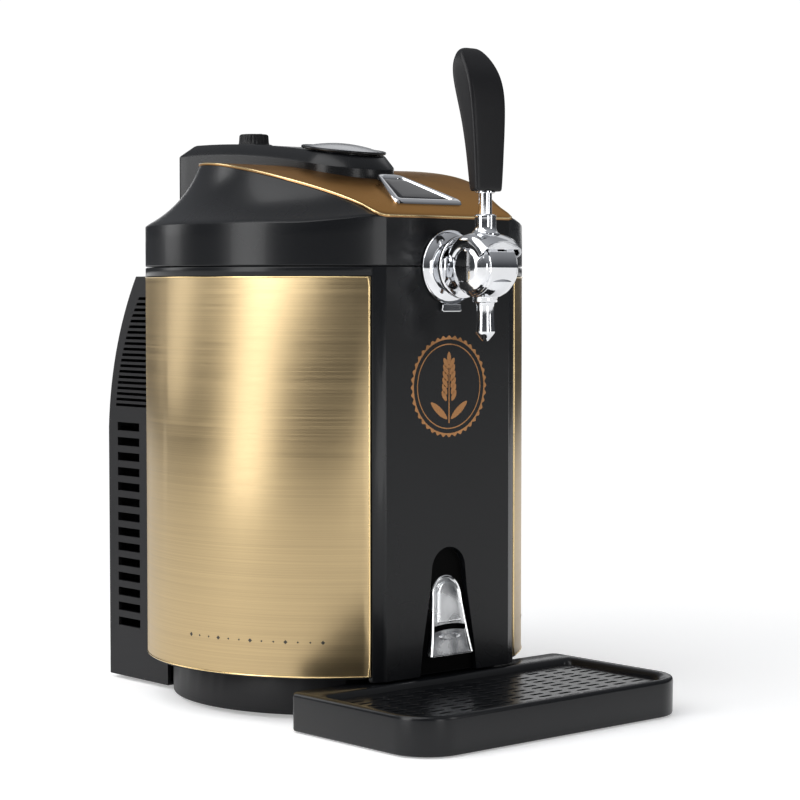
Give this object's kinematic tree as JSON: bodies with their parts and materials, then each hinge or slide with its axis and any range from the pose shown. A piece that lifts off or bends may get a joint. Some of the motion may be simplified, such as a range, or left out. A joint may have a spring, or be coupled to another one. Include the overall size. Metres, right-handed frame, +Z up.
{
  "type": "electric countertop keg dispenser",
  "caption": "Countertop electric beer cooler and dispenser: round metal-clad body, hinged lid, ball tap with paddle handle, bottle opener and removable drip tray.",
  "frame": {"origin": "on the table below the middle of the object's outline", "axes": "+Z up, the tap faces -Y, +X to the right seen from the front"},
  "size_m": [0.28, 0.404, 0.469],
  "materials": {
    "gloss_black": "polished",
    "satin_black": "satin",
    "bronze_steel": "brushed",
    "bronze_sheet": "satin",
    "chrome": "polished",
    "steel": "satin",
    "aluminium": "satin",
    "rubber": "matte",
    "white_plastic": "satin",
    "foam": "matte",
    "smoked_window": "polished",
    "board_green": "satin",
    "ceramic_white": "matte"
  },
  "bodies": {
    "body": {"base_plinth": "satin_black", "base_plate": "satin_black", "rubber_feet": "rubber", "body_shell": "satin_black", "upper_trim_ring": "gloss_black", "side_panel_right": "bronze_steel", "side_panel_left": "bronze_steel", "front_panel": "gloss_black", "bottle_opener": "chrome", "opener_screw": "steel", "keg_tub": "aluminium", "chamber_collar": "satin_black", "chamber_insulation": "foam", "tub_support": "foam", "cold_plate": "aluminium", "thermoelectric_module": "ceramic_white", "heat_sink": "aluminium", "fan_frame": "satin_black", "power_supply": "aluminium", "control_board": "board_green", "rear_housing": "satin_black", "hinge_pins": "steel", "power_inlet": "satin_black", "inlet_pins": "steel", "switch_bezel": "satin_black", "tap_flange": "chrome", "flange_tab": "chrome", "tap_shank": "chrome", "shank_nut": "chrome", "tap_collar": "chrome", "tap_body": "chrome", "tap_pivot_pin": "steel", "tap_spout": "chrome"},
    "lid": {"lid_shell": "gloss_black", "lid_top_panel": "bronze_sheet", "lid_spine": "gloss_black", "display_bezel": "chrome", "display_window": "smoked_window", "lid_liner": "white_plastic", "lid_insulation": "foam", "lid_gasket": "rubber", "lid_lugs": "satin_black"},
    "cap": {"access_cap": "chrome"},
    "knob": {"pressure_knob": "gloss_black"},
    "lever": {"lever_stem": "chrome", "lever_cap": "chrome", "stem_sleeve": "chrome", "tap_handle": "gloss_black"},
    "valve": {"valve_plunger": "steel"},
    "tray": {"drip_tray": "gloss_black"},
    "grille": {"drip_grille": "gloss_black"},
    "fan": {"fan_rotor": "satin_black"},
    "rocker": {"power_rocker": "gloss_black"}
  },
  "joints": [
    {"name": "lid_hinge", "type": "hinge", "parent": "body", "child": "lid", "pos_m": [0, 0.194, 0.322], "axis": [-1, 0, 0], "range_deg": [0, 75]},
    {"name": "tap_lever", "type": "hinge", "parent": "body", "child": "lever", "pos_m": [0, -0.1235, 0.317], "axis": [1, 0, 0], "range_deg": [0, 40]},
    {"name": "valve_slide", "type": "slide", "parent": "body", "child": "valve", "axis": [0, 1, 0], "range_m": [0, 0.005]},
    {"name": "tray_slide", "type": "slide", "parent": "body", "child": "tray", "axis": [0, -1, 0], "range_m": [0, 0.14]},
    {"name": "grille_lift", "type": "slide", "parent": "tray", "child": "grille", "axis": [0, 0, 1], "range_m": [0, 0.018]},
    {"name": "fan_spin", "type": "hinge", "parent": "body", "child": "fan", "pos_m": [0, 0.188, 0.17], "axis": [0, 1, 0], "continuous": true},
    {"name": "cap_lift", "type": "slide", "parent": "lid", "child": "cap", "axis": [0, -0.1392, 0.9903], "range_m": [0, 0.02]},
    {"name": "pressure_turn", "type": "hinge", "parent": "lid", "child": "knob", "pos_m": [0, 0.139, 0.417], "axis": [0, 0, 1], "range_deg": [0, 270]},
    {"name": "power_switch", "type": "hinge", "parent": "body", "child": "rocker", "pos_m": [0.02, 0.198, 0.024], "axis": [1, 0, 0], "range_deg": [-6, 6]}
  ],
  "couplings": [
    {"joint": "valve_slide", "follows": "tap_lever", "m_per_rad": 0.007162}
  ]
}
